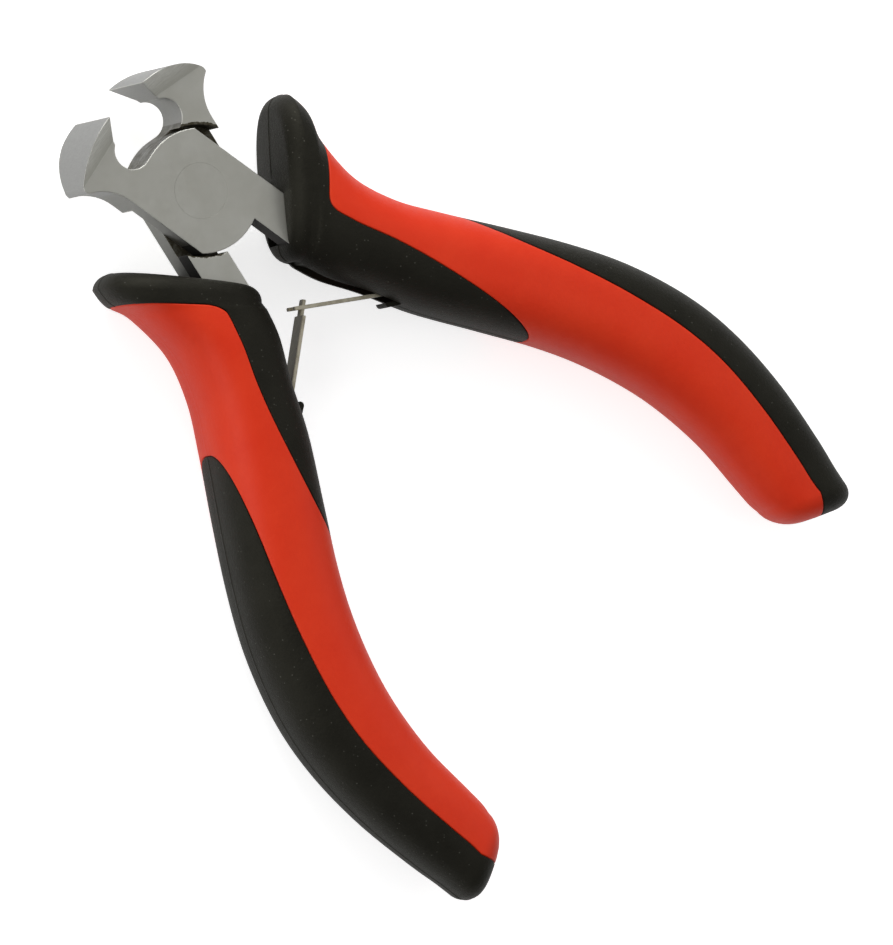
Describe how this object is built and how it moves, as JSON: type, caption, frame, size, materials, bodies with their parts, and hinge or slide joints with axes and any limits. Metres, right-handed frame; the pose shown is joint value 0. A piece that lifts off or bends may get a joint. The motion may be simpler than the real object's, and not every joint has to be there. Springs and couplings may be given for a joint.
{
  "type": "end cutting nippers",
  "caption": "Small end cutting nippers with lapped steel levers on a flush rivet, hooked cross-cutting jaws, two-tone moulded handles and interlocking leaf return springs.",
  "frame": {"origin": "on the pivot's axis, at the back face of the lap joint", "axes": "+Y along the tool from the handles to the cutting edges, +X to the right handle as seen from the front, +Z along the pivot out of the front face"},
  "size_m": [0.084, 0.1093, 0.0156],
  "materials": {
    "lever_steel": "satin ground and blasted alloy steel",
    "rivet_steel": "ground flush with the joint faces",
    "core_red": "satin moulded polypropylene",
    "grip_black": "fine matte overmoulded elastomer",
    "spring_nickel": "nickel-plated spring strip"
  },
  "bodies": {
    "front_half": {"front_lever": "lever_steel", "pivot_rivet": "rivet_steel", "right_handle_core": "core_red", "right_guard_grip": "grip_black", "right_back_grip": "grip_black"},
    "rear_half": {"rear_lever": "lever_steel", "left_handle_core": "core_red", "left_guard_grip": "grip_black", "left_back_grip": "grip_black"},
    "right_leaf": {"right_leaf_spring": "spring_nickel"},
    "left_leaf": {"left_leaf_spring": "spring_nickel"}
  },
  "joints": [
    {"name": "pivot", "type": "hinge", "parent": "front_half", "child": "rear_half", "pos_m": [0, 0, 0.0035], "axis": [0, 0, 1], "range_deg": [-4.5, 22.6], "stiffness_Nm_per_rad": 0.8},
    {"name": "right_leaf_flex", "type": "hinge", "parent": "front_half", "child": "right_leaf", "pos_m": [0.01143, -0.02913, 0.0035], "axis": [0, 0, 1], "range_deg": [-21.6, 4.6]},
    {"name": "left_leaf_flex", "type": "hinge", "parent": "rear_half", "child": "left_leaf", "pos_m": [-0.01159, -0.02991, 0.0035], "axis": [0, 0, 1], "range_deg": [-4.6, 21.6]}
  ],
  "couplings": [
    {"joint": "right_leaf_flex", "follows": "pivot", "ratio": -0.93805},
    {"joint": "left_leaf_flex", "follows": "pivot", "ratio": 0.93805}
  ]
}
